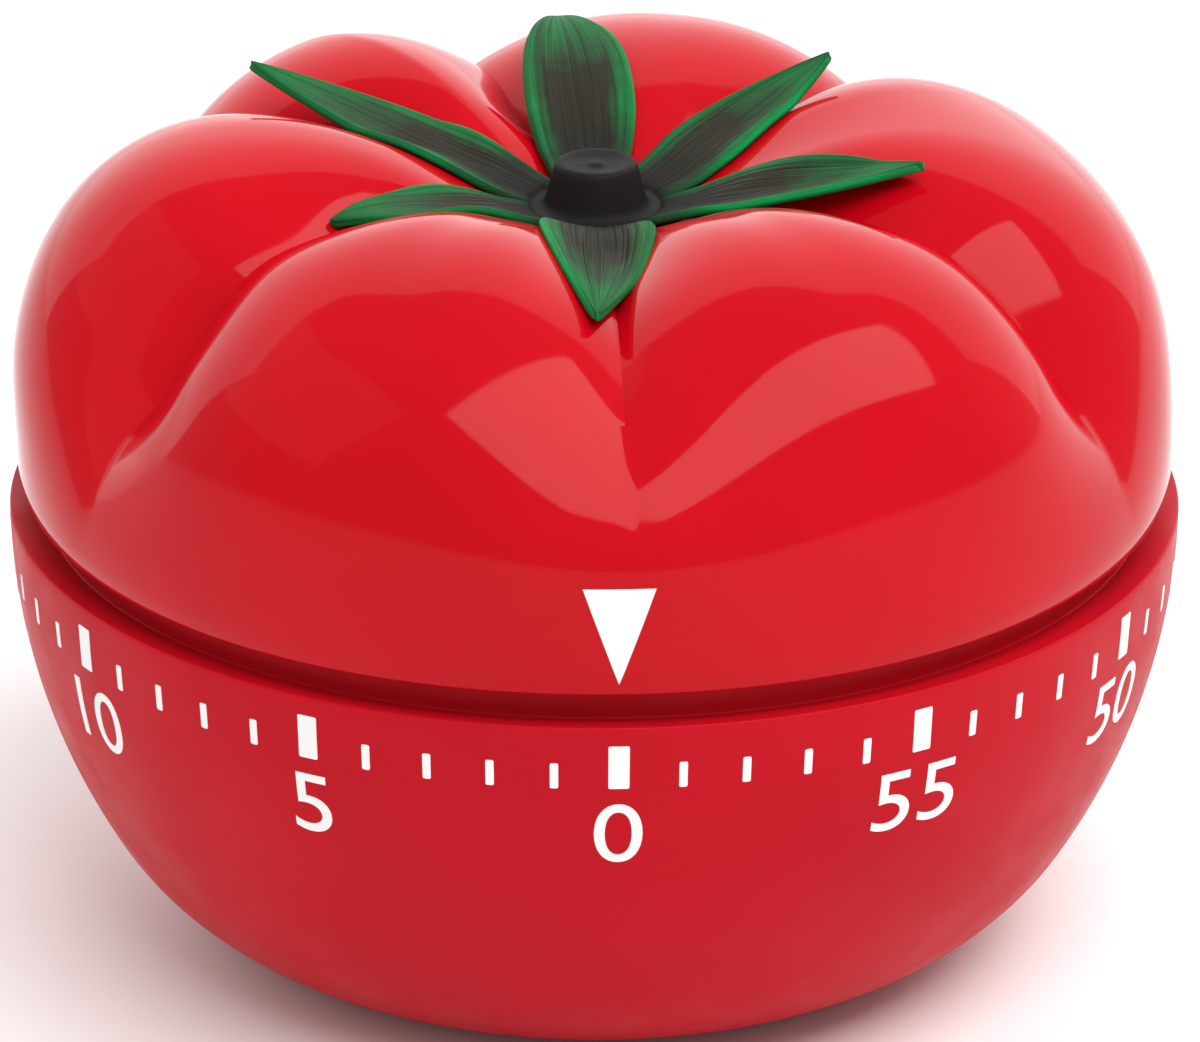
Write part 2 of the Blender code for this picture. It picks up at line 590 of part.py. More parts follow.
def build_train():
    """Second, third and escape wheels, the pallet lever and the balance."""
    second_at = polar(pitch_distance(MAIN_TEETH, SECOND_PINION, BARREL_MODULE), SECOND_ANGLE)
    step = pitch_distance(WHEEL_TEETH, PINION_TEETH, TRAIN_MODULE)
    third_at = swing_out(second_at.length, SECOND_ANGLE, step, THIRD_RADIUS)
    third_angle = direction(Vector((0.0, 0.0)), third_at)
    escape_at = swing_out(THIRD_RADIUS, third_angle, step, ESCAPE_PLACE)
    escape_angle = direction(Vector((0.0, 0.0)), escape_at)
    span = 2.5 * 360.0 / ESCAPE_TEETH
    pallet_gap = ESCAPE_RADIUS / math.cos(math.radians(span / 2))
    pallet_at = swing_out(ESCAPE_PLACE, escape_angle, pallet_gap, PALLET_PLACE)
    balance_at = polar(*BALANCE_AT)

    second_phase = mesh_phase(MAIN_TEETH, 0.0, SECOND_ANGLE, SECOND_PINION)
    piece("second_wheel", combine(pivoted_arbor(), [
        gear(SECOND_PINION, BARREL_MODULE, second_phase, 19.9, 21.5, 3),
        gear(WHEEL_TEETH, TRAIN_MODULE, 0.0, 23.4, 24.2)]), "brass", second_at)
    third_phase = mesh_phase(WHEEL_TEETH, 0.0, direction(second_at, third_at), PINION_TEETH)
    piece("third_wheel", combine(pivoted_arbor(), [
        gear(PINION_TEETH, TRAIN_MODULE, third_phase, 23.1, 24.5, 3),
        gear(WHEEL_TEETH, TRAIN_MODULE, 0.0, 21.8, 22.6)]), "brass", third_at)
    escape_phase = mesh_phase(WHEEL_TEETH, 0.0, direction(third_at, escape_at), PINION_TEETH)
    pitch = 360.0 / ESCAPE_TEETH
    first_tooth = direction(escape_at, pallet_at) - span / 2 + pitch / 4
    piece("escape_wheel", combine(pivoted_arbor(), [
        gear(PINION_TEETH, TRAIN_MODULE, escape_phase, 21.5, 22.9, 3),
        toothed_disc(ESCAPE_TEETH, ESCAPE_RADIUS, 4.6, first_tooth, 16.2, 17.0)]),
        "brass", escape_at)

    lever = anchor(0.8, escape_at, pallet_at, ESCAPE_RADIUS, span, 17.4, 18.1, 16.3)
    fork_end = (balance_at - pallet_at) * (1.0 - 3.0 / (balance_at - pallet_at).length)
    lever = combine(lever, [bar((0.0, 0.0), fork_end, 1.2, 17.45, 18.05)])
    piece("pallet_lever", lever, "steel", pallet_at)
    piece("balance_wheel", balance_wheel(), "brass", balance_at)
    piece("hairspring", spiral(1.4, 4.2, 3.5, 0.25, 21.7, 22.4, 10), "spring", balance_at)
    return [second_at, third_at, escape_at, pallet_at, balance_at]


def build_strike():
    """Spring barrel, star wheel, hammer, detent and bell."""
    strike_at = polar(pitch_distance(MAIN_TEETH, SECOND_PINION, BARREL_MODULE), STRIKE_ANGLE)
    span = 1.5 * 360.0 / STAR_TEETH
    hammer_gap = STAR_RADIUS / math.cos(math.radians(span / 2))
    hammer_at = swing_out(strike_at.length, -STRIKE_ANGLE, hammer_gap, HAMMER_PLACE)
    hammer_at = Vector((-hammer_at.x, hammer_at.y))
    detent_at = polar(*DETENT_AT)

    piece("spring_barrel", spring_barrel(0.0), "brass")
    pinion_phase = mesh_phase(MAIN_TEETH, 0.0, STRIKE_ANGLE, SECOND_PINION)
    star_tooth = direction(strike_at, hammer_at) - span / 2 + 360.0 / STAR_TEETH / 4
    piece("strike_wheel", combine(pivoted_arbor(), [
        gear(SECOND_PINION, BARREL_MODULE, pinion_phase, 13.5, 15.0, 3),
        toothed_disc(STAR_TEETH, STAR_RADIUS, 3.4, star_tooth, 16.2, 17.2)]), "steel", strike_at)

    head_at = polar(18.2, direction(Vector((0.0, 0.0)), hammer_at) - 31.0) - hammer_at
    tail = (detent_at - hammer_at) * 0.42
    strike_arm = [cylinder(1.0, 7.9, 12.5), bar((0.0, 0.0), head_at, 1.2, 8.2, 9.2),
                  cylinder(1.6, 7.7, 10.1, head_at, 14), bar((0.0, 0.0), tail, 1.2, 18.5, 19.3)]
    hammer = anchor(0.9, strike_at, hammer_at, STAR_RADIUS, span, 17.6, 18.3, 16.4)
    piece("hammer", combine(hammer, strike_arm), "steel", hammer_at)
    piece("detent_lever", detent_lever(hammer_at), "steel", detent_at)
    piece("bell", bell(), "bell")
    piece("bell_post", bell_post(), "steel")
    piece("bell_screw", screw(3.0, 2.8, 1.1, 1.1, 9.4), "steel")
    return [strike_at, hammer_at, detent_at]


def build_frame(pivots, hammer_at, detent_at):
    """Plates, pillars and the screws that hold the movement together and in the bowl."""
    pillars = [polar(*place) for place in PILLARS]
    bosses = [polar(*place) for place in BOSSES]
    stop_at = polar(*STOP_POST_AT)
    centre = Vector((0.0, 0.0))
    low_holes = [(at, 1.25) for at in pillars + bosses] + [(centre, 1.55), (hammer_at, 1.4)]
    low_pivots = [at for at in pivots if at != hammer_at]
    piece("bottom_plate", plate(BOTTOM_PLATE, low_pivots, low_holes), "brass")
    top_holes = [(at, 1.15) for at in pillars] + [(centre, 2.15), (stop_at, 0.8), (detent_at, 1.1)]
    top_pivots = [at for at in pivots if at != detent_at]
    piece("top_plate", plate(TOP_PLATE, top_pivots, top_holes), "brass")
    piece("stop_post", turned([(0.0, 25.2), (0.45, 25.2), (0.45, 30.2), (0.0, 30.2)], 12),
          "steel", stop_at)
    for number, at in enumerate(pillars, 1):
        piece(f"pillar_{number}", pillar(), "steel", at)
        piece(f"plate_screw_{number}", screw(TOP_PLATE[1] + GAP, 1.7, 1.0, 0.8, 19.0), "steel", at)
    for number, at in enumerate(bosses, 1):
        piece(f"case_screw_{number}", screw(BOTTOM_PLATE[1] + GAP, 1.8, 1.1, 0.9, 6.6), "steel", at)


def main():
    for old in list(bpy.data.objects):
        bpy.data.objects.remove(old)
    dial = bpy.data.objects.new("dial_axis", None)
    bpy.context.collection.objects.link(dial)
    build_case(dial)
    build_winding(dial)
    train_pivots = build_train()
    strike_at, hammer_at, detent_at = build_strike()
    build_frame(train_pivots + [strike_at, hammer_at, detent_at], hammer_at, detent_at)


main()
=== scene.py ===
"""Studio scene of a wind-up kitchen timer with a tomato-shaped case.

Lengths are in metres, and MM turns millimetres into them. Angles are in degrees round the
vertical axis, counted from the front (-Y) towards +X.
"""
import json
import math

import bmesh
import bpy
from mathutils import Matrix, Vector


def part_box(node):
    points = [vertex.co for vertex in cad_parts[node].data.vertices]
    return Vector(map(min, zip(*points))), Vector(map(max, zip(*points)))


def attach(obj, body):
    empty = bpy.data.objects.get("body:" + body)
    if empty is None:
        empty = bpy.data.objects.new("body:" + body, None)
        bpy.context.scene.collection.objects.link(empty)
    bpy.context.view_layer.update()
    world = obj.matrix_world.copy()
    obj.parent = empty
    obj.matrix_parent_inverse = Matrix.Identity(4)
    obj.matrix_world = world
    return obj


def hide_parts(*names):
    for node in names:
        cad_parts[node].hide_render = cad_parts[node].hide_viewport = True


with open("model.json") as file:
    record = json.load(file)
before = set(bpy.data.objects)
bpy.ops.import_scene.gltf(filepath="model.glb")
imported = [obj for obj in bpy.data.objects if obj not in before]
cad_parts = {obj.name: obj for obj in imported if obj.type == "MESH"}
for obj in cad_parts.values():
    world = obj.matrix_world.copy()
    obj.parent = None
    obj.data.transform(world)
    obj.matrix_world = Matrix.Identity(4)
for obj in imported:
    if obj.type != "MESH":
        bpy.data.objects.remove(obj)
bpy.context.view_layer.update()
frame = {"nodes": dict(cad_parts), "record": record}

bl_info = {
    "name": "Tomato Kitchen Timer",
    "version": (1, 0, 0),
    "blender": (4, 5, 0),
    "location": "3D View > Sidebar > Timer",
    "description": "Builds the shells, calyx, printed scale and finishes of a wind-up kitchen timer",
    "category": "Object",
}

MM = 0.001
ROUND_STEPS = 360           # one step a degree, so every groove lies on a step
COVER_STEPS = 180
BOSS_STEPS = 32

BOWL_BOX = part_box("bottom_shell")
DOME_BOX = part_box("top_shell")
COVER_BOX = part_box("base_cover")

# Stage
FRAME_SHIFT = (0.0049, 0.0200)    # the camera's shift, across and up
CAMERA_AIM, LIGHT_AIM = 23.45 * MM, 30.0 * MM    # heights on the axis that they point at
FLOOR_RADIUS = 4.0
# Soft lights: name, direction, angle above the floor, distance, width, height and brightness
SOFTBOXES = (
    ("back_wall", 180.0, 30.0, 1.6, 5.6, 2.0, 1.1),
    ("front_softbox", 43.0, 60.0, 1.16, 1.5, 0.7, 4.2),
    ("left_softbox", -85.0, 37.0, 1.3, 1.3, 0.9, 0.35),
)

# Case section
BOWL_EDGE = 27.3 * MM       # height of the bowl's upper edge
BOWL_ARC = 38.0 * MM
FOOT_ARC = 16.0 * MM
COLLAR_IN, COLLAR_OUT = 31.6 * MM, 32.8 * MM
DOME_WAIST = 30.3 * MM
DOME_RIM = 34.3 * MM
DOME_POWER = 2.95
DIMPLE_POWER = 1.84
SCREW_BOSSES = ((24.8, 45.0), (24.8, 215.0), (24.8, 310.0))    # radius in mm and direction

# Direction of each groove, how much deeper it is at the shoulder, and its lower end's height
GROOVES = ((1.0, 0.0, 36.0 * MM), (63.0, 0.3, 30.0 * MM), (138.0, 0.0, 31.0 * MM),
           (196.0, 0.0, 31.0 * MM), (241.0, 0.0, 31.0 * MM), (298.0, 0.6, 30.0 * MM))
GROOVE_SPREAD = 28.0        # a groove's slopes reach this far to each side
GROOVE_POWER = 2.2          # how sharp the bottom of a groove is
# Radius where grooves start, and the lengths over which they deepen and run out
GROOVE_START, GROOVE_RUN_IN, GROOVE_RUN_OUT = 5.0 * MM, 9.0 * MM, 12.0 * MM
# Rings where grooves are deeper, round the calyx and at the shoulder
CALYX_EXTRA, CALYX_RING, CALYX_RING_WIDTH = 0.7, 15.0 * MM, 7.0 * MM
SHOULDER_RING, SHOULDER_RING_WIDTH = 31.0 * MM, 5.0 * MM
# Fuller shoulders of two lobes: direction, spread in degrees, height
BULGES = ((222.0, 30.0, 0.75 * MM), (272.0, 26.0, 0.9 * MM))
BULGE_RADIUS, BULGE_WIDTH = 27.0 * MM, 8.0 * MM

# Leaves: direction, tip radius, tip height, arch, half width, sideways bend, droop of the tip
# and roundness of the outline (all lengths mm)
LEAVES = (
    (-2.0, 23.8, 47.9, 0.2, 3.3, 0.0, 0.0, 1.5),
    (73.5, 19.9, 50.1, 0.3, 2.8, -0.6, 0.0, 2.0),
    (126.0, 18.0, 51.2, 0.0, 2.9, 0.1, 0.0, 1.7),
    (184.0, 22.2, 51.1, 0.8, 3.3, -0.2, 1.7, 2.6),
    (243.0, 23.0, 51.0, 0.2, 3.0, 0.3, 0.0, 1.6),
    (295.0, 17.6, 48.0, 0.8, 2.6, 0.8, 0.6, 2.4),
)
LEAF_ROOT = 3.9 * MM        # radius of the ring where leaves and stem meet
LEAF_ROOT_SHARE = 0.16      # part of a leaf that spreads out to meet its neighbours
LEAF_CUP = 0.55 * MM        # how far a leaf's rims stand up
LEAF_WIDEST = 0.34          # how far along its length a leaf is widest
LEAF_ROOT_WIDTH = 0.80      # width at the root as a share of the greatest
DIGIT_SHARE = 0.70          # height of a digit in a font of size 1


def polar(radius, angle, height=0.0):
    turn = math.radians(angle)
    return Vector((radius * math.sin(turn), -radius * math.cos(turn), height))


def bearing(point):
    """Direction of a point from the axis."""
    return math.degrees(math.atan2(point.x, -point.y)) % 360.0


def apart(angle, other):
    """Signed difference of two directions."""
    return (angle - other + 180.0) % 360.0 - 180.0


def smooth(value):
    """Eases a share from 0 to 1."""
    share = min(max(value, 0.0), 1.0)
    return share * share * (3.0 - 2.0 * share)


def ring_share(radius, middle, width):
    """Share from 1 on a ring round the axis down to 0 away from it."""
    return math.exp(-((radius - middle) / width) ** 2)


# Settings ---------------------------------------------------------------------

def length(name, description, default):
    return bpy.props.FloatProperty(name=name, description=description, default=default,
                                   min=0.0, precision=5, unit="LENGTH")


def colour(name, description, default):
    return bpy.props.FloatVectorProperty(name=name, description=description, default=default,
                                         size=3, min=0.0, max=1.0, subtype="COLOR")


class TimerCaseSettings(bpy.types.PropertyGroup):
    bowl_radius: length("Bowl Radius", "Outer edge of the bowl", BOWL_BOX[1].x)
    collar_top: length("Collar Top", "Top of the collar that the dome turns on", BOWL_BOX[1].z)
    wall: length("Wall", "Thickness of the bowl", 2.0 * MM)
    cover_radius: length("Cover Radius", "Radius of the disc in the base", COVER_BOX[1].x)
    edge_rounding: length("Edge Rounding", "Rounding of the shells' edges", 0.16 * MM)
    dome_radius: length("Dome Radius", "Widest place of the dome", DOME_BOX[1].x)
    dome_rise: length("Dome Rise", "Height of the dome over its waist", 22.0 * MM)
    dome_wall: length("Dome Wall", "Thickness of the dome", 1.8 * MM)
    dimple_depth: length("Dimple Depth", "Depth of the dimple under the calyx", 8.5 * MM)
    dimple_radius: length("Dimple Radius", "Radius of the dimple", 12.6 * MM)
    groove_depth: length("Groove Depth", "Depth of the grooves between the lobes", 3.0 * MM)
    dome_red: colour("Dome Red", "Glossy red of the dome", (0.52, 0.0015, 0.008))
    bowl_red: colour("Bowl Red", "Satin red of the bowl", (0.49, 0.004, 0.013))


class TimerCalyxSettings(bpy.types.PropertyGroup):
    leaf_thickness: length("Leaf Thickness", "Thickness of the leaves", 0.55 * MM)
    clearance: length("Clearance", "Least gap between a leaf and the dome", 0.15 * MM)
    stem_top: length("Stem Top", "Height of the stem's end", 48.2 * MM)
    leaf_green: colour("Leaf Green", "Bright green of rims and tips", (0.001, 0.29, 0.068))
    leaf_dark: colour("Leaf Dark", "Dark green in the leaves' middle", (0.032, 0.030, 0.020))
    stem_black: colour("Stem Black", "Black of the stem and the leaves' roots", (0.016, 0.014, 0.014))


class TimerScaleSettings(bpy.types.PropertyGroup):
    minutes: bpy.props.IntProperty(
        name="Minutes", description="Marks round the bowl", default=60, min=12, max=60)
    numbered: bpy.props.IntProperty(
        name="Numbered", description="Minutes between two numbered marks", default=5, min=1, max=15)
    foot: length("Foot", "Height of the marks' lower ends", 23.45 * MM)
    long_width: length("Long Width", "Width of a numbered mark", 1.2 * MM)
    long_height: length("Long Height", "Height of a numbered mark", 2.7 * MM)
    short_width: length("Short Width", "Width of a minute mark", 0.48 * MM)
    short_height: length("Short Height", "Height of a minute mark", 1.6 * MM)
    numeral_height: length("Numeral Height", "Height of the numerals", 4.0 * MM)
    numeral_stretch: bpy.props.FloatProperty(
        name="Numeral Stretch", description="Widening of the numerals", default=1.12, min=0.5)
    numeral_gap: length("Numeral Gap", "Gap between marks and numerals", 0.98 * MM)
    ink: length("Ink", "Thickness of the print", 0.04 * MM)
    pointer_width: length("Pointer Width", "Width of the pointer on the dome", 4.15 * MM)
    pointer_height: length("Pointer Height", "Height of the pointer on the dome", 5.8 * MM)
    pointer_foot: length("Pointer Foot", "Height of the pointer's tip", 29.7 * MM)
    ink_white: colour("Ink White", "White of the print", (0.88, 0.87, 0.86))


class TimerStageSettings(bpy.types.PropertyGroup):
    distance: length("Distance", "From the camera to the timer", 489.0 * MM)
    elevation: bpy.props.FloatProperty(
        name="Elevation", description="Camera's angle above the floor",
        default=math.radians(23.2), subtype="ANGLE", unit="ROTATION")
    azimuth: bpy.props.FloatProperty(
        name="Azimuth", description="Camera's angle to the right of the front",
        default=math.radians(-2.4), subtype="ANGLE", unit="ROTATION")
    roll: bpy.props.FloatProperty(
        name="Roll", description="Camera's turn about its own line of sight",
        default=math.radians(0.29), subtype="ANGLE", unit="ROTATION")
    lens: bpy.props.FloatProperty(
        name="Lens", description="Focal length of the camera in millimetres", default=243.0, min=20.0)
    floor_white: colour("Floor White", "Pale floor", (0.94, 0.94, 0.94))


# Mesh helpers -----------------------------------------------------------------

def arc(centre, radius, start, end, count):
    """Points on a circle in the section plane, between two angles above the horizontal."""
    turns = [math.radians(start + (end - start) * step / (count - 1)) for step in range(count)]
    return [(centre[0] + radius * math.cos(turn), centre[1] + radius * math.sin(turn))
            for turn in turns]


def turned(profile, steps=ROUND_STEPS):
    """Solid of revolution of a closed (radius, height) section."""
    bm = bmesh.new()
    points = [bm.verts.new((radius, 0.0, height)) for radius, height in profile]
    sides = [bm.edges.new(pair) for pair in zip(points, points[1:])]
    if profile[0][0] > 0.0:
        sides.append(bm.edges.new((points[-1], points[0])))
    bmesh.ops.spin(bm, geom=points + sides, axis=(0, 0, 1), cent=(0, 0, 0),
                   angle=math.tau, steps=steps, use_merge=True)
    bmesh.ops.remove_doubles(bm, verts=bm.verts, dist=0.001 * MM)
    bmesh.ops.recalc_face_normals(bm, faces=bm.faces)
    return bm


def round_corners(bm, width, segments=3, sharper_than=35.0):
    """Rounds every edge that turns by more than an angle."""
    limit = math.radians(sharper_than)
    corners = [edge for edge in bm.edges
               if edge.is_manifold and edge.calc_face_angle(0.0) > limit]
    bmesh.ops.bevel(bm, geom=corners, offset=width, offset_type="OFFSET", segments=segments,
                    profile=0.5, affect="EDGES", material=-1, clamp_overlap=True)


def add_piece(name, bm, material, body, sharp=40.0):
    """Makes a shaded object of a mesh and lets it ride on a body."""
    mesh = bpy.data.meshes.new(name)
    bm.to_mesh(mesh)
    bm.free()
    mesh.materials.append(material)
    mesh.shade_smooth()
    mesh.set_sharp_from_angle(angle=math.radians(sharp))
    made = bpy.data.objects.new(name, mesh)
    bpy.context.scene.collection.objects.link(made)
    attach(made, body)
    return made


# Surfaces of the case -----------------------------------------------------------

def bowl_side(case, inset, floor, top_angle=0.0, count=26):
    """Section of the bowl's side and foot moved inwards, from the edge down to a floor."""
    centre = case.bowl_radius - BOWL_ARC
    foot = centre + math.sqrt((BOWL_ARC - FOOT_ARC) ** 2 - (BOWL_EDGE - FOOT_ARC) ** 2)
    meeting = math.degrees(math.atan2(FOOT_ARC - BOWL_EDGE, foot - centre))
    lowest = -math.degrees(math.asin((FOOT_ARC - floor) / (FOOT_ARC - inset)))
    side = arc((centre, BOWL_EDGE), BOWL_ARC - inset, top_angle, meeting, count)
    return side + arc((foot, FOOT_ARC), FOOT_ARC - inset, meeting, lowest, count)[1:]


def crown_height(case, radius, inset=0.0):
    """Height of the dome over a radius, between the grooves."""
    share = min(radius / (case.dome_radius - inset), 1.0)
    crown = (case.dome_rise - inset) * (1.0 - share ** DOME_POWER) ** (1.0 / DOME_POWER)
    dimple = case.dimple_depth * math.exp(-(radius / case.dimple_radius) ** DIMPLE_POWER)
    return DOME_WAIST + crown - dimple


def groove_sink(case, angle, radius, height):
    """How far the grooves lower the dome's surface."""
    direction, extra, foot = min(GROOVES, key=lambda groove: abs(apart(angle, groove[0])))
    crease = max(1.0 - abs(apart(angle, direction)) / GROOVE_SPREAD, 0.0) ** GROOVE_POWER
    fade_in = smooth((radius - GROOVE_START) / GROOVE_RUN_IN)
    fade_out = smooth((height - foot) / GROOVE_RUN_OUT)
    calyx = CALYX_EXTRA * ring_share(radius, CALYX_RING, CALYX_RING_WIDTH)
    shoulder = extra * ring_share(radius, SHOULDER_RING, SHOULDER_RING_WIDTH)
    return case.groove_depth * crease * fade_in * fade_out * (1.0 + calyx + shoulder)


def bulge(angle, radius):
    """How far a lobe's shoulder stands out."""
    ring = ring_share(radius, BULGE_RADIUS, BULGE_WIDTH)
    return sum(height * ring * math.exp(-(apart(angle, direction) / spread) ** 2)
               for direction, spread, height in BULGES)


def lobed(case, place):
    """Place on the plain dome moved to the grooves and shoulders."""
    radius, angle = math.hypot(place.x, place.y), bearing(place)
    sink = groove_sink(case, angle, radius, place.z)
    share = min(radius / case.dome_radius, 1.0)
    rise = max(place.z - DOME_WAIST, 0.0) / case.dome_rise
    swell = bulge(angle, radius) * smooth(3.0 * rise)
    stretch = 1.0 - sink / case.dome_radius + swell * share / radius
    height = place.z - sink * rise + swell * math.sqrt(1.0 - share ** 2)
    return Vector((place.x * stretch, place.y * stretch, height))


def dome_surface(case, place):
    """Height of the dome over a place."""
    crown = Vector((place.x, place.y, crown_height(case, math.hypot(place.x, place.y))))
    return lobed(case, crown).z


# Materials --------------------------------------------------------------------

def new_material(name, base, roughness, metallic=0.0):
    """Material with one shader, and its tree and shader for more nodes."""
    material = bpy.data.materials.new(name)
    material.use_nodes = True
    material.diffuse_color = (*base, 1.0)
    shader = material.node_tree.nodes["Principled BSDF"]
    shader.inputs["Base Color"].default_value = (*base, 1.0)
    shader.inputs["Roughness"].default_value = roughness
    shader.inputs["Metallic"].default_value = metallic
    return material, material.node_tree, shader


def add_node(tree, kind, inputs=(), **settings):
    """Node with its settings, and its inputs given as values or as outputs to link."""
    made = tree.nodes.new(kind)
    for name, value in settings.items():
        setattr(made, name, value)
    for name, value in dict(inputs).items():
        if isinstance(value, bpy.types.NodeSocket):
            tree.links.new(value, made.inputs[name])
        else:
            made.inputs[name].default_value = value
    return made


def object_place(tree, centre=(0.0, 0.0, 0.0), scale=(1.0, 1.0, 1.0)):
    """Object coordinates moved to a centre and stretched."""
    source = add_node(tree, "ShaderNodeTexCoord").outputs["Object"]
    offset = [-middle * factor for middle, factor in zip(centre, scale)]
    return add_node(tree, "ShaderNodeMapping",
                    {"Vector": source, "Location": offset, "Scale": scale}).outputs["Vector"]


def noise(tree, place, size, detail=3.0, roughness=0.5):
    """Noise whose features are about one size in metres."""
    return add_node(tree, "ShaderNodeTexNoise", {
        "Vector": place, "Scale": 1.0 / size, "Detail": detail,
        "Roughness": roughness}).outputs["Fac"]


def ramp(tree, value, stops):
    """Colour ramp of (position, colour) stops."""
    made = add_node(tree, "ShaderNodeValToRGB", {"Fac": value})
    band = made.color_ramp
    while len(band.elements) < len(stops):
        band.elements.new(0.5)
    for element, (position, shade) in zip(band.elements, stops):
        element.position = position
        element.color = (*shade, 1.0)
    return made.outputs["Color"]


def rescale(tree, value, low, high, from_low=0.0, from_high=1.0):
    """Value stretched from one range to another and kept inside it."""
    return add_node(tree, "ShaderNodeMapRange", {
        "Value": value, "From Min": from_low, "From Max": from_high,
        "To Min": low, "To Max": high}).outputs["Result"]


def calculated(tree, operation, first, second):
    """Result of a maths operation on two numbers or outputs."""
    made = add_node(tree, "ShaderNodeMath", operation=operation)
    for socket, value in zip(made.inputs, (first, second)):
        if isinstance(value, bpy.types.NodeSocket):
            tree.links.new(value, socket)
        else:
            socket.default_value = value
    return made.outputs["Value"]


def mixed(tree, factor, first, second):
    """Blend of two colours, each a value or an output."""
    made = add_node(tree, "ShaderNodeMix", data_type="RGBA")
    for index, value in ((0, factor), (6, first), (7, second)):
        if isinstance(value, bpy.types.NodeSocket):
            tree.links.new(value, made.inputs[index])
        else:
            made.inputs[index].default_value = value if index == 0 else (*value, 1.0)
    return made.outputs[2]


def emboss(tree, shader, height, depth, strength=1.0):
    """Bump of a height field whose full range is a depth in metres."""
    bump = add_node(tree, "ShaderNodeBump", {
        "Strength": strength, "Distance": depth, "Height": height})
    tree.links.new(bump.outputs["Normal"], shader.inputs["Normal"])


def shade(base, factor):
    """Colour made darker or lighter."""
    return tuple(min(part * factor, 1.0) for part in base)


def moulded_plastic(name, base, roughness, variation, grain_size, grain_depth):
    """Moulded plastic: faint shade changes, uneven gloss and a fine grain."""
    material, tree, shader = new_material(name, base, roughness)
    place = object_place(tree)
    cloud = noise(tree, place, 14.0 * MM, 2.0)
    tree.links.new(ramp(tree, cloud, ((0.3, shade(base, 1.0 - variation)),
                                      (0.7, shade(base, 1.0 + variation)))),
                   shader.inputs["Base Color"])
    smudge = noise(tree, place, 5.0 * MM, 5.0, 0.65)
    tree.links.new(rescale(tree, smudge, roughness * 0.8, roughness * 1.25, 0.3, 0.7),
                   shader.inputs["Roughness"])
    grain = noise(tree, place, grain_size, 2.0)
    emboss(tree, shader, grain, grain_depth)
    return material, shader


def dome_gloss(case):
    """Polished red plastic."""
    material, shader = moulded_plastic("dome_gloss_red", tuple(case.dome_red), 0.07, 0.05,
                                       2.2 * MM, 0.002 * MM)
    shader.inputs["Specular IOR Level"].default_value = 0.14
    return material


def bowl_satin(case):
    """Finely textured red plastic."""
    material, shader = moulded_plastic("bowl_satin_red", tuple(case.bowl_red), 0.42, 0.05,
                                       0.35 * MM, 0.006 * MM)
    shader.inputs["Specular IOR Level"].default_value = 0.09
    return material


def screen_ink(scale):
    """White screen print, a little thin in places."""
    base = tuple(scale.ink_white)
    material, tree, shader = new_material("screen_ink_white", base, 0.45)
    place = object_place(tree)
    thin = noise(tree, place, 0.5 * MM, 4.0, 0.7)
    tree.links.new(ramp(tree, thin, ((0.22, (0.84, 0.68, 0.66)), (0.36, base))),
                   shader.inputs["Base Color"])
    tree.links.new(rescale(tree, thin, 0.38, 0.55), shader.inputs["Roughness"])
    emboss(tree, shader, noise(tree, place, 0.12 * MM), 0.004 * MM)
    return material


def leaf_rubber(calyx):
    """Soft leaf: bright thin rims and tips, a dark middle, veins along it and a black root.

    The piece's own map gives the place: x runs from the stem (below 0) over the root (0) to
    the tip (1), y runs across from rim to rim.
    """
    green, dark, black = (tuple(calyx.leaf_green), tuple(calyx.leaf_dark), tuple(calyx.stem_black))
    material, tree, shader = new_material("leaf_rubber", green, 0.5)
    shader.inputs["Specular IOR Level"].default_value = 0.06
    own = add_node(tree, "ShaderNodeUVMap", uv_map="leaf").outputs["UV"]
    split = add_node(tree, "ShaderNodeSeparateXYZ", {"Vector": own}).outputs
    along, across = split["X"], split["Y"]
    place = object_place(tree)
    blotch = noise(tree, place, 2.5 * MM, 4.0, 0.6)

    side = calculated(tree, "SUBTRACT", calculated(tree, "MULTIPLY", across, 2.0), 1.0)
    rim = calculated(tree, "ABSOLUTE", side, 0.0)
    wander = rescale(tree, blotch, -0.22, 0.22)
    rim_share = rescale(tree, calculated(tree, "ADD", rim, wander), 0.0, 1.0, 0.52, 1.0)
    tip_share = rescale(tree, calculated(tree, "ADD", along, wander), 0.0, 1.0, 0.45, 1.05)
    bright = calculated(tree, "MAXIMUM", rim_share, tip_share)

    stretched = add_node(tree, "ShaderNodeMapping",
                         {"Vector": own, "Scale": (0.9, 16.0, 1.0)}).outputs["Vector"]
    veins = add_node(tree, "ShaderNodeTexNoise", {
        "Vector": stretched, "Scale": 1.0, "Detail": 2.0, "Roughness": 0.55}).outputs["Fac"]
    vein_share = rescale(tree, veins, 0.0, 1.0, 0.38, 0.62)
    body_shade = mixed(tree, bright, dark, green)
    veined = mixed(tree, calculated(tree, "MULTIPLY", vein_share, 0.62), body_shade, shade(dark, 0.5))
    ragged = calculated(tree, "ADD", along, calculated(tree, "MULTIPLY", wander, 0.35))
    root_share = rescale(tree, ragged, 1.0, 0.0, 0.0, 0.30)
    tree.links.new(mixed(tree, root_share, veined, black), shader.inputs["Base Color"])
    tree.links.new(rescale(tree, blotch, 0.40, 0.62), shader.inputs["Roughness"])
    fine = noise(tree, place, 0.3 * MM)
    relief = calculated(tree, "ADD", calculated(tree, "MULTIPLY", vein_share, 0.8),
                        calculated(tree, "MULTIPLY", fine, 0.3))
    emboss(tree, shader, relief, 0.12 * MM)
    return material


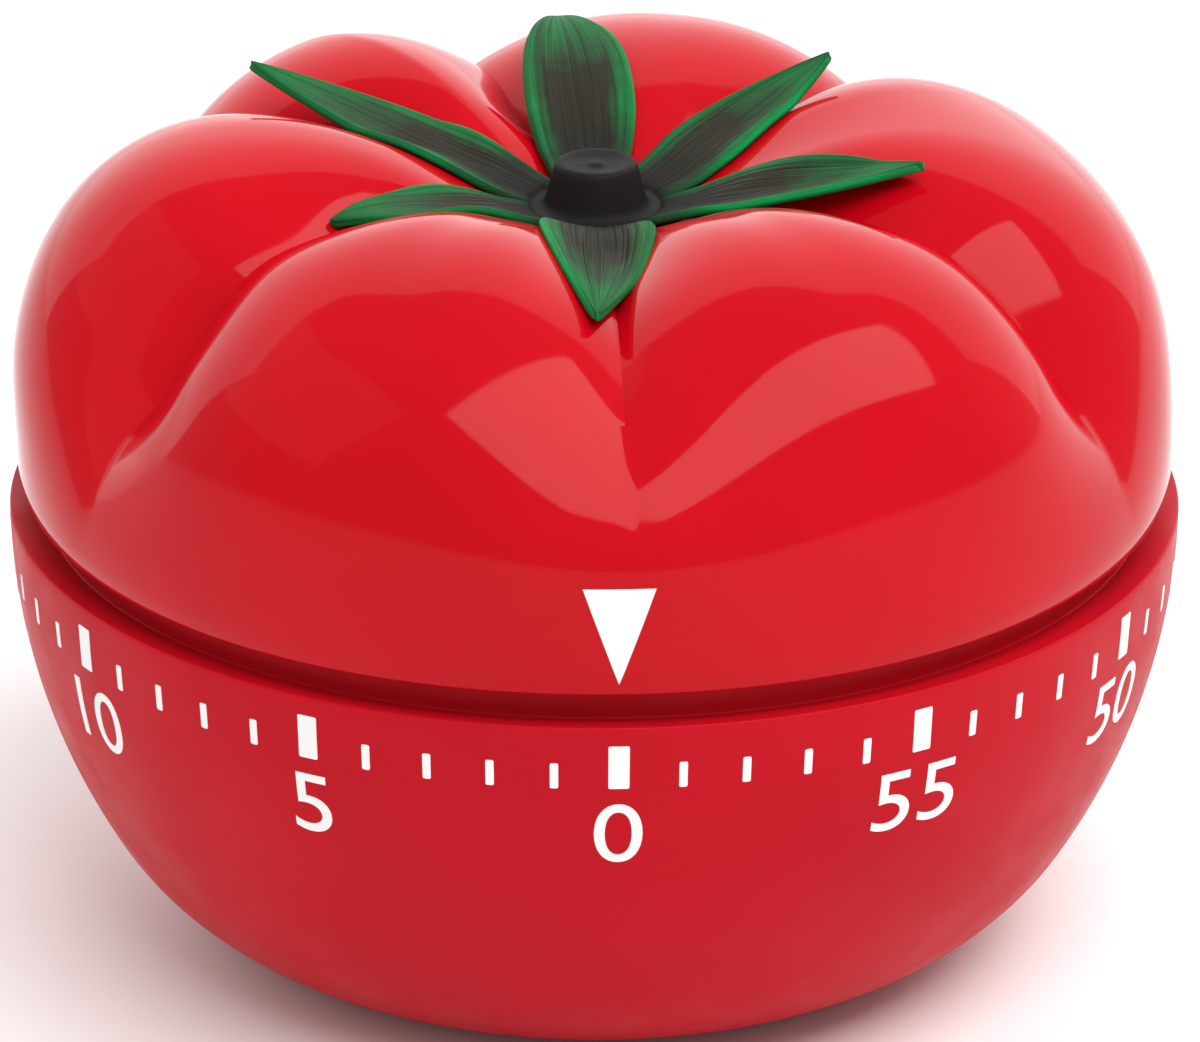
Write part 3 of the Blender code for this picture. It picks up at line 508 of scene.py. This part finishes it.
def turned_metal(name, base, roughness, centre):
    """Metal with the fine rings that a lathe or a polishing wheel leaves."""
    material, tree, shader = new_material(name, base, roughness, 1.0)
    place = object_place(tree, centre)
    rings = add_node(tree, "ShaderNodeTexWave", {
        "Vector": place, "Scale": 320.0, "Distortion": 1.5, "Detail": 2.0, "Detail Scale": 1.5,
    }, wave_type="RINGS", rings_direction="Z").outputs["Fac"]
    stain = noise(tree, place, 4.0 * MM, 4.0, 0.6)
    tree.links.new(ramp(tree, stain, ((0.3, shade(base, 0.80)), (0.7, shade(base, 1.10)))),
                   shader.inputs["Base Color"])
    uneven = calculated(tree, "MULTIPLY", rings, stain)
    tree.links.new(rescale(tree, uneven, roughness * 0.7, roughness * 1.6),
                   shader.inputs["Roughness"])
    emboss(tree, shader, rings, 0.006 * MM)
    return material


def blued_spring(name, base, centre):
    """Tempered spring steel, straw to blue."""
    material, tree, shader = new_material(name, base, 0.28, 1.0)
    place = object_place(tree, centre)
    temper = noise(tree, place, 3.0 * MM, 3.0)
    tree.links.new(ramp(tree, temper, ((0.25, (0.10, 0.13, 0.26)), (0.5, base),
                                       (0.75, (0.34, 0.30, 0.28)))),
                   shader.inputs["Base Color"])
    streak = noise(tree, object_place(tree, centre, (1.0, 1.0, 12.0)), 0.8 * MM, 3.0)
    tree.links.new(rescale(tree, streak, 0.18, 0.42), shader.inputs["Roughness"])
    emboss(tree, shader, streak, 0.004 * MM)
    return material


# Operators --------------------------------------------------------------------

class TimerBuildDome(bpy.types.Operator):
    """Build the glossy dome with its lobes, grooves, dimple, lip and inner boss"""
    bl_idname = "timer.build_dome"
    bl_label = "Build Dome"
    bl_options = {"REGISTER", "UNDO"}

    def execute(self, context):
        case = context.scene.timer_case
        recess_radius, recess_floor = 3.4 * MM, 42.4 * MM
        boss_radius, boss_low, boss_margin = 5.0 * MM, 31.0 * MM, 0.3 * MM
        socket_radius, socket_top, bore = 2.15 * MM, 40.9 * MM, 1.3 * MM
        lip_width, inner_shift, inset, count = 1.0 * MM, 1.4 * MM, case.dome_wall, 72
        turns = [math.pi / 2 * step / count for step in range(1, count)]
        reaches = [recess_radius + (case.dome_radius - recess_radius) * math.sin(turn)
                   for turn in turns]
        outer = [(reach, crown_height(case, reach)) for reach in reaches]
        inner = [(reach - inner_shift, crown_height(case, reach - inner_shift, inset))
                 for reach in reversed(reaches[::3])]
        inner = [point for point in inner
                 if boss_radius + boss_margin < point[0] < DOME_RIM - 2 * lip_width]
        rim_low = DOME_BOX[0].z
        lip = DOME_RIM - lip_width
        profile = [(recess_radius, crown_height(case, 0.0))] + outer
        profile += [(case.dome_radius, DOME_WAIST), (DOME_RIM, rim_low), (lip, rim_low)]
        profile += [(lip, DOME_WAIST)] + inner
        profile += [(boss_radius, crown_height(case, boss_radius, inset)), (boss_radius, boss_low),
                    (socket_radius, boss_low), (socket_radius, socket_top), (bore, socket_top),
                    (bore, recess_floor), (recess_radius, recess_floor)]
        bm = turned(profile)
        round_corners(bm, case.edge_rounding)
        for vert in bm.verts:
            if math.hypot(vert.co.x, vert.co.y) > boss_radius + boss_margin:
                vert.co = lobed(case, vert.co)
        dome = add_piece("dome", bm, dome_gloss(case), "dial")
        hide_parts("top_shell")
        return {"FINISHED"}


class TimerBuildBowl(bpy.types.Operator):
    """Build the satin bowl with its collar, recess and inner screw bosses"""
    bl_idname = "timer.build_bowl"
    bl_label = "Build Bowl"
    bl_options = {"REGISTER", "UNDO"}

    def execute(self, context):
        case = context.scene.timer_case
        floor, opening, shelf, gap = 3.2 * MM, 11.7 * MM, 1.6 * MM, 0.3 * MM
        recess = case.cover_radius + gap
        collar_foot_in, collar_foot_out = 26.4 * MM, 26.8 * MM
        profile = bowl_side(case, 0.0, 0.0)
        profile += [(recess, 0.0), (recess, shelf), (opening, shelf), (opening, floor)]
        profile += reversed(bowl_side(case, case.wall, floor, top_angle=-4.0))
        profile += [(COLLAR_IN, collar_foot_in), (COLLAR_IN, case.collar_top),
                    (COLLAR_OUT, case.collar_top), (COLLAR_OUT, collar_foot_out)]
        bm = turned(profile)
        round_corners(bm, case.edge_rounding)
        for radius, angle in SCREW_BOSSES:
            self.add_boss(bm, case, polar(radius * MM, angle))
        bowl = add_piece("bowl", bm, bowl_satin(case), "case")
        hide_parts("bottom_shell")
        return {"FINISHED"}

    def add_boss(self, bm, case, at):
        """Tube from inside the bowl's wall up to the bottom plate, open for its screw."""
        outer, bore, top, bore_floor = 2.2 * MM, 1.2 * MM, 11.7 * MM, 6.0 * MM
        rim = bmesh.ops.create_circle(bm, cap_ends=False, segments=BOSS_STEPS, radius=outer,
                                      matrix=Matrix.Translation((at.x, at.y, top)))["verts"]
        edges = list({edge for vert in rim for edge in vert.link_edges})
        grown = bmesh.ops.extrude_edge_only(bm, edges=edges)["geom"]
        for vert in (item for item in grown if isinstance(item, bmesh.types.BMVert)):
            radius = math.hypot(vert.co.x, vert.co.y)
            out = min(max(radius - FOOT_ARC, 0.0), FOOT_ARC - case.wall)
            vert.co.z = FOOT_ARC - math.sqrt((FOOT_ARC - case.wall / 2) ** 2 - out ** 2)
        hole = edges
        for radius, height in ((bore, top), (bore, bore_floor), (0.0, bore_floor)):
            grown = bmesh.ops.extrude_edge_only(bm, edges=hole)["geom"]
            verts = [item for item in grown if isinstance(item, bmesh.types.BMVert)]
            hole = [item for item in grown if isinstance(item, bmesh.types.BMEdge)
                    and all(vert in verts for vert in item.verts)]
            for vert in verts:
                away = Vector((vert.co.x - at.x, vert.co.y - at.y)).normalized() * radius
                vert.co = (at.x + away.x, at.y + away.y, height)
        tube = {face for vert in rim for face in vert.link_faces}
        bmesh.ops.remove_doubles(bm, verts=bm.verts, dist=0.0005 * MM)
        bmesh.ops.recalc_face_normals(bm, faces=[face for face in tube if face.is_valid])


class TimerBuildCover(bpy.types.Operator):
    """Build the disc that closes the base"""
    bl_idname = "timer.build_cover"
    bl_label = "Build Base Cover"
    bl_options = {"REGISTER", "UNDO"}

    def execute(self, context):
        case = context.scene.timer_case
        edge, thickness = case.cover_radius, 1.3 * MM
        ring_in, ring_out, ring_top = 10.0 * MM, 11.4 * MM, COVER_BOX[1].z
        dish, dish_depth, ridge_depth = 9.2 * MM, 0.35 * MM, 0.15 * MM
        profile = [(0.0, dish_depth), (1.2 * MM, dish_depth), (1.5 * MM, ridge_depth),
                   (1.9 * MM, ridge_depth), (2.2 * MM, dish_depth), (dish - 0.5 * MM, dish_depth),
                   (dish, 0.0), (edge, 0.0), (edge, thickness),
                   (ring_out, thickness), (ring_out, ring_top), (ring_in, ring_top),
                   (ring_in, thickness), (0.0, thickness)]
        bm = turned(profile, COVER_STEPS)
        round_corners(bm, case.edge_rounding)
        cover = add_piece("base_disc", bm, bpy.data.materials["bowl_satin_red"], "case")
        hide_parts("base_cover")
        return {"FINISHED"}


class TimerBuildCalyx(bpy.types.Operator):
    """Build the six leaves and the stem as one soft moulding"""
    bl_idname = "timer.build_calyx"
    bl_label = "Build Calyx"
    bl_options = {"REGISTER", "UNDO"}

    def execute(self, context):
        case, calyx = context.scene.timer_case, context.scene.timer_calyx
        root_height = crown_height(case, LEAF_ROOT) + calyx.clearance + calyx.leaf_thickness
        bm = bmesh.new()
        chart = bm.loops.layers.uv.new("leaf")
        directions = [leaf[0] for leaf in LEAVES]
        for index, leaf in enumerate(LEAVES):
            before = apart(directions[index - 1], leaf[0]) / 2
            after = apart(directions[(index + 1) % len(LEAVES)], leaf[0]) / 2
            self.add_leaf(bm, chart, leaf, before, after, root_height)
        bmesh.ops.remove_doubles(bm, verts=bm.verts, dist=0.005 * MM)
        self.add_stem(bm, chart, root_height, calyx.stem_top)
        bmesh.ops.recalc_face_normals(bm, faces=bm.faces)
        if sum(face.normal.z for face in bm.faces) < 0.0:
            bmesh.ops.reverse_faces(bm, faces=bm.faces)
        made = add_piece("calyx_leaves", bm, leaf_rubber(calyx), "dial", 180.0)
        thick = made.modifiers.new("thickness", "SOLIDIFY")
        thick.thickness = calyx.leaf_thickness
        thick.offset = -1.0
        soft = made.modifiers.new("softness", "SUBSURF")
        soft.levels = soft.render_levels = 1
        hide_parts("calyx")
        return {"FINISHED"}

    def add_leaf(self, bm, chart, leaf, before, after, root_height):
        """Leaf whose root takes the ring from half way to one neighbour to half way to the other."""
        scene = bpy.context.scene
        case, calyx = scene.timer_case, scene.timer_calyx
        direction, tip, tip_height, arch, half_width, bend, droop, roundness = leaf
        made = bmesh.ops.create_grid(bm, x_segments=30, y_segments=12, size=0.5)["verts"]
        for face in {face for vert in made for face in vert.link_faces}:
            for loop in face.loops:
                loop[chart].uv = (loop.vert.co.x + 0.5, loop.vert.co.y + 0.5)
        for vert in made:
            along, across = vert.co.x + 0.5, 2.0 * vert.co.y
            radius = LEAF_ROOT + (tip * MM - LEAF_ROOT) * along
            root_angle = direction + (after if across > 0.0 else before) * abs(across)
            root = polar(LEAF_ROOT, root_angle)
            blade = half_width * MM * self.outline(along, roundness) * across
            sideways = blade + bend * MM * math.sin(math.pi * along)
            ahead = polar(1.0, direction)
            spine = ahead * radius + polar(1.0, direction + 90.0) * sideways
            place = root.lerp(spine, smooth(along / LEAF_ROOT_SHARE))
            height = root_height + (tip_height * MM - root_height) * along
            height += arch * MM * math.sin(math.pi * along) - droop * MM * along ** 8
            height += LEAF_CUP * across ** 2 * smooth(along / 0.3) * (1.0 - along)
            if along > 0.0:
                floor = dome_surface(case, place) + calyx.clearance + calyx.leaf_thickness
                height = max(height, floor)
            vert.co = (place.x, place.y, height)

    def outline(self, along, roundness):
        """Half width of a leaf as a share, from a narrower root to a pointed tip."""
        if along < LEAF_WIDEST:
            return LEAF_ROOT_WIDTH + (1.0 - LEAF_ROOT_WIDTH) * smooth(along / LEAF_WIDEST)
        return 1.0 - ((along - LEAF_WIDEST) / (1.0 - LEAF_WIDEST)) ** roundness

    def add_stem(self, bm, chart, base, top):
        """Grows the stem out of the ring where the leaves meet."""
        ring = [edge for edge in bm.edges if edge.is_boundary
                and all(abs(math.hypot(*vert.co.xy) - LEAF_ROOT) < 0.02 * MM for vert in edge.verts)]
        levels = ((3.35 * MM, base + 0.02 * MM), (3.02 * MM, base + 0.22 * MM),
                  (2.90 * MM, base + 0.9 * MM), (2.55 * MM, top - 0.55 * MM),
                  (2.44 * MM, top - 0.18 * MM), (2.22 * MM, top), (1.85 * MM, top - 0.05 * MM),
                  (1.3 * MM, top - 0.22 * MM), (0.55 * MM, top - 0.26 * MM),
                  (0.42 * MM, top - 0.12 * MM), (0.2 * MM, top - 0.08 * MM), (0.0, top - 0.08 * MM))
        for step, (radius, height) in enumerate(levels, 1):
            grown = bmesh.ops.extrude_edge_only(bm, edges=ring)["geom"]
            verts = [item for item in grown if isinstance(item, bmesh.types.BMVert)]
            ring = [item for item in grown if isinstance(item, bmesh.types.BMEdge)
                    and all(vert in verts for vert in item.verts)]
            for vert in verts:
                vert.co = polar(radius, bearing(vert.co), height)
            for face in {face for vert in verts for face in vert.link_faces}:
                for loop in face.loops:
                    loop[chart].uv = (-0.1 * step, 0.5)
        bmesh.ops.remove_doubles(bm, verts=bm.verts, dist=0.005 * MM)


class TimerPrintScale(bpy.types.Operator):
    """Print the minute marks and numerals round the bowl, and the pointer on the dome"""
    bl_idname = "timer.print_scale"
    bl_label = "Print Scale"
    bl_options = {"REGISTER", "UNDO"}

    def execute(self, context):
        case, scale = context.scene.timer_case, context.scene.timer_scale
        ink = screen_ink(scale)
        marks = bmesh.new()
        for minute in range(scale.minutes):
            angle = -360.0 * minute / scale.minutes
            long = minute % scale.numbered == 0
            width = scale.long_width if long else scale.short_width
            height = scale.long_height if long else scale.short_height
            self.add_mark(marks, case, scale, angle, width, height)
        add_piece("minute_marks", marks, ink, "case")
        numerals = bmesh.new()
        for minute in range(0, scale.minutes, scale.numbered):
            self.add_numeral(numerals, context, case, scale, minute)
        add_piece("minute_numerals", numerals, ink, "case")
        add_piece("pointer", self.pointer(case, scale), ink, "dial")
        return {"FINISHED"}

    def wrap(self, verts, case, scale, angle):
        """Lays flat work on the bowl: x runs round it, y up its side from the marks' feet, z out."""
        for vert in verts:
            across, up, out = vert.co
            start = math.asin((BOWL_EDGE - scale.foot) / BOWL_ARC)
            fall = start - up / BOWL_ARC
            radius = case.bowl_radius - BOWL_ARC + (BOWL_ARC + out) * math.cos(fall)
            turn = angle + math.degrees(across / case.bowl_radius)
            vert.co = polar(radius, turn, BOWL_EDGE - (BOWL_ARC + out) * math.sin(fall))

    def cut_grid(self, bm, spacing, cuts, middle):
        """Cuts a flat shape into a grid round a height, so that it can follow a curved side."""
        for count in range(-cuts, cuts + 1):
            offset = count * spacing
            for at, normal in (((offset, 0.0, 0.0), (1.0, 0.0, 0.0)),
                               ((0.0, middle + offset, 0.0), (0.0, 1.0, 0.0))):
                bmesh.ops.bisect_plane(bm, geom=bm.verts[:] + bm.edges[:] + bm.faces[:],
                                       plane_co=at, plane_no=normal)

    def add_mark(self, bm, case, scale, angle, width, height):
        """Upright bar with rounded corners."""
        corner = 0.09 * MM
        middle = Matrix.Translation((0.0, height / 2, 0.0))
        shape = middle @ Matrix.Diagonal((width, height, 2 * scale.ink, 1.0))
        made = bmesh.ops.create_cube(bm, size=1.0, matrix=shape)["verts"]
        upright = {edge for vert in made for edge in vert.link_edges
                   if abs(edge.verts[0].co.z - edge.verts[1].co.z) > scale.ink}
        rounded = bmesh.ops.bevel(bm, geom=list(upright), offset=corner, offset_type="OFFSET",
                                  segments=2, profile=0.5, affect="EDGES", material=-1)
        whole = {vert for vert in made if vert.is_valid} | set(rounded["verts"])
        self.wrap(whole, case, scale, angle)

    def add_numeral(self, bm, context, case, scale, minute):
        """Number of a minute, centred under its mark."""
        text = bpy.data.curves.new("numeral", "FONT")
        text.body = str(minute)
        text.size = scale.numeral_height / DIGIT_SHARE
        text.align_x = "CENTER"
        text.extrude = scale.ink
        text.resolution_u = 8
        shape = bpy.data.objects.new("numeral", text)
        context.scene.collection.objects.link(shape)
        solid = bpy.data.meshes.new_from_object(
            shape.evaluated_get(context.evaluated_depsgraph_get()))
        bpy.data.objects.remove(shape)
        part = bmesh.new()
        part.from_mesh(solid)
        bpy.data.meshes.remove(solid)
        bmesh.ops.remove_doubles(part, verts=part.verts, dist=0.001 * MM)
        stretch = Matrix.Diagonal((scale.numeral_stretch, 1.0, 1.0))
        bmesh.ops.transform(part, matrix=stretch.to_4x4(), verts=part.verts)
        self.cut_grid(part, spacing=0.45 * MM, cuts=9, middle=scale.numeral_height / 2)
        drop = scale.numeral_height + scale.numeral_gap
        bmesh.ops.translate(part, vec=(0.0, -drop, 0.0), verts=part.verts)
        self.wrap(part.verts, case, scale, -360.0 * minute / scale.minutes)
        bmesh.ops.recalc_face_normals(part, faces=part.faces)
        joined = bpy.data.meshes.new("numeral")
        part.to_mesh(joined)
        part.free()
        bm.from_mesh(joined)
        bpy.data.meshes.remove(joined)

    def pointer(self, case, scale):
        """Triangle over the groove, its tip down."""
        bm = bmesh.new()
        top = scale.pointer_foot + scale.pointer_height
        corners = ((0.0, scale.pointer_foot), (scale.pointer_width / 2, top),
                   (-scale.pointer_width / 2, top))
        face = bm.faces.new([bm.verts.new((across, up, 0.0)) for across, up in corners])
        grown = bmesh.ops.extrude_face_region(bm, geom=[face])["geom"]
        lifted = [item for item in grown if isinstance(item, bmesh.types.BMVert)]
        bmesh.ops.translate(bm, vec=(0.0, 0.0, 2 * scale.ink), verts=lifted)
        self.cut_grid(bm, spacing=0.4 * MM, cuts=12, middle=top - 3.0 * MM)
        for vert in bm.verts:
            across, up, out = vert.co
            share = max(up - DOME_WAIST, 0.0) / case.dome_rise
            radius = case.dome_radius * (1.0 - share ** DOME_POWER) ** (1.0 / DOME_POWER)
            under = max(DOME_WAIST - up, 0.0) / (DOME_WAIST - DOME_BOX[0].z)
            radius -= under * (case.dome_radius - DOME_RIM)
            turn = math.degrees(across / case.dome_radius)
            vert.co = polar(radius + out - scale.ink, turn, up)
        bmesh.ops.recalc_face_normals(bm, faces=bm.faces)
        return bm


class TimerFinishMovement(bpy.types.Operator):
    """Give every piece of the movement its metal or plastic"""
    bl_idname = "timer.finish_movement"
    bl_label = "Finish Movement"
    bl_options = {"REGISTER", "UNDO"}

    finishes = {
        "brass": ((0.72, 0.50, 0.20), 0.26),
        "steel": ((0.56, 0.57, 0.58), 0.24),
        "bell_steel": ((0.78, 0.78, 0.77), 0.12),
    }

    def execute(self, context):
        shown = {"top_shell", "bottom_shell", "calyx", "base_cover"}
        slots = {part["node"]: part["material_slot"] for part in frame["record"]["subparts"]}
        for name, node in frame["nodes"].items():
            if name in shown:
                continue
            low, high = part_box(name)
            centre = (low + high) / 2
            finish = slots[name]
            if finish in self.finishes:
                base, roughness = self.finishes[finish]
                material = turned_metal(f"{finish}_of_{name}", base, roughness, centre)
            elif finish == "spring_steel":
                material = blued_spring(f"blued_{name}", (0.20, 0.24, 0.36), centre)
            else:
                material, _ = moulded_plastic(f"moulded_{name}", (0.78, 0.76, 0.70), 0.45, 0.04,
                                              0.3 * MM, 0.008 * MM)
            for place in node.material_slots:
                place.material = material
        return {"FINISHED"}


class TimerSetStage(bpy.types.Operator):
    """Set the pale floor, the soft lights and the camera"""
    bl_idname = "timer.set_stage"
    bl_label = "Set Stage"
    bl_options = {"REGISTER", "UNDO"}

    def execute(self, context):
        stage = context.scene.timer_stage
        context.scene.view_settings.view_transform = "Standard"
        self.floor(context, stage)
        self.lights(context)
        self.camera(context, stage)
        return {"FINISHED"}

    def floor(self, context, stage):
        bm = bmesh.new()
        bmesh.ops.create_circle(bm, cap_ends=True, segments=128, radius=FLOOR_RADIUS)
        mesh = bpy.data.meshes.new("floor")
        bm.to_mesh(mesh)
        bm.free()
        white = tuple(stage.floor_white)
        material, tree, shader = new_material("floor_paper", white, 0.7)
        paper = noise(tree, object_place(tree), 30.0 * MM, 4.0)
        tree.links.new(ramp(tree, paper, ((0.3, shade(white, 0.985)), (0.7, white))),
                       shader.inputs["Base Color"])
        mesh.materials.append(material)
        floor = bpy.data.objects.new("floor", mesh)
        context.scene.collection.objects.link(floor)

    def softbox(self, context, name, azimuth, elevation, distance, width, height, brightness):
        """Area light aimed at the timer; it looks as bright at any size."""
        light = bpy.data.lights.new(name, "AREA")
        light.shape = "RECTANGLE"
        light.size, light.size_y = width, height
        light.energy = brightness * math.pi * width * height
        lamp = bpy.data.objects.new(name, light)
        context.scene.collection.objects.link(lamp)
        middle = Vector((0.0, 0.0, LIGHT_AIM))
        flat = polar(math.cos(math.radians(elevation)), azimuth, math.sin(math.radians(elevation)))
        lamp.location = middle + flat * distance
        lamp.rotation_mode = "QUATERNION"
        lamp.rotation_quaternion = flat.to_track_quat("Z", "Y")

    def lights(self, context):
        world = bpy.data.worlds.new("studio")
        world.use_nodes = True
        background = world.node_tree.nodes["Background"]
        background.inputs["Color"].default_value = (1.0, 1.0, 1.0, 1.0)
        background.inputs["Strength"].default_value = 0.5
        context.scene.world = world
        for softbox in SOFTBOXES:
            self.softbox(context, *softbox)

    def camera(self, context, stage):
        middle = Vector((0.0, 0.0, CAMERA_AIM))
        back = polar(math.cos(stage.elevation), math.degrees(stage.azimuth),
                     math.sin(stage.elevation))
        data = bpy.data.cameras.new("camera")
        data.lens = stage.lens
        data.sensor_width = 36.0
        data.shift_x, data.shift_y = FRAME_SHIFT
        camera = bpy.data.objects.new("camera", data)
        context.scene.collection.objects.link(camera)
        camera.location = middle + back * stage.distance
        camera.rotation_mode = "QUATERNION"
        roll = Matrix.Rotation(stage.roll, 4, "Z").to_quaternion()
        camera.rotation_quaternion = (-back).to_track_quat("-Z", "Y") @ roll
        context.scene.camera = camera


class TimerPanel(bpy.types.Panel):
    """Sidebar panel with the timer's operators and settings"""
    bl_idname = "VIEW3D_PT_kitchen_timer"
    bl_label = "Kitchen Timer"
    bl_space_type = "VIEW_3D"
    bl_region_type = "UI"
    bl_category = "Timer"

    def draw(self, context):
        for operator in OPERATORS:
            self.layout.operator(operator.bl_idname)
        for name in SETTINGS:
            box = self.layout.box()
            group = getattr(context.scene, name)
            for setting in group.bl_rna.properties:
                if setting.identifier not in ("rna_type", "name"):
                    box.prop(group, setting.identifier)


SETTINGS = {
    "timer_case": TimerCaseSettings,
    "timer_calyx": TimerCalyxSettings,
    "timer_scale": TimerScaleSettings,
    "timer_stage": TimerStageSettings,
}
OPERATORS = (TimerBuildDome, TimerBuildBowl, TimerBuildCover, TimerBuildCalyx, TimerPrintScale,
             TimerFinishMovement, TimerSetStage)


def register():
    for group in SETTINGS.values():
        bpy.utils.register_class(group)
    for name, group in SETTINGS.items():
        setattr(bpy.types.Scene, name, bpy.props.PointerProperty(type=group))
    for operator in OPERATORS:
        bpy.utils.register_class(operator)
    bpy.utils.register_class(TimerPanel)


def unregister():
    bpy.utils.unregister_class(TimerPanel)
    for operator in reversed(OPERATORS):
        bpy.utils.unregister_class(operator)
    for name, group in SETTINGS.items():
        delattr(bpy.types.Scene, name)
        bpy.utils.unregister_class(group)


def main():
    register()
    bpy.ops.timer.build_dome()
    bpy.ops.timer.build_bowl()
    bpy.ops.timer.build_cover()
    bpy.ops.timer.build_calyx()
    bpy.ops.timer.print_scale()
    bpy.ops.timer.finish_movement()
    bpy.ops.timer.set_stage()


if __name__ == "__main__":
    main()
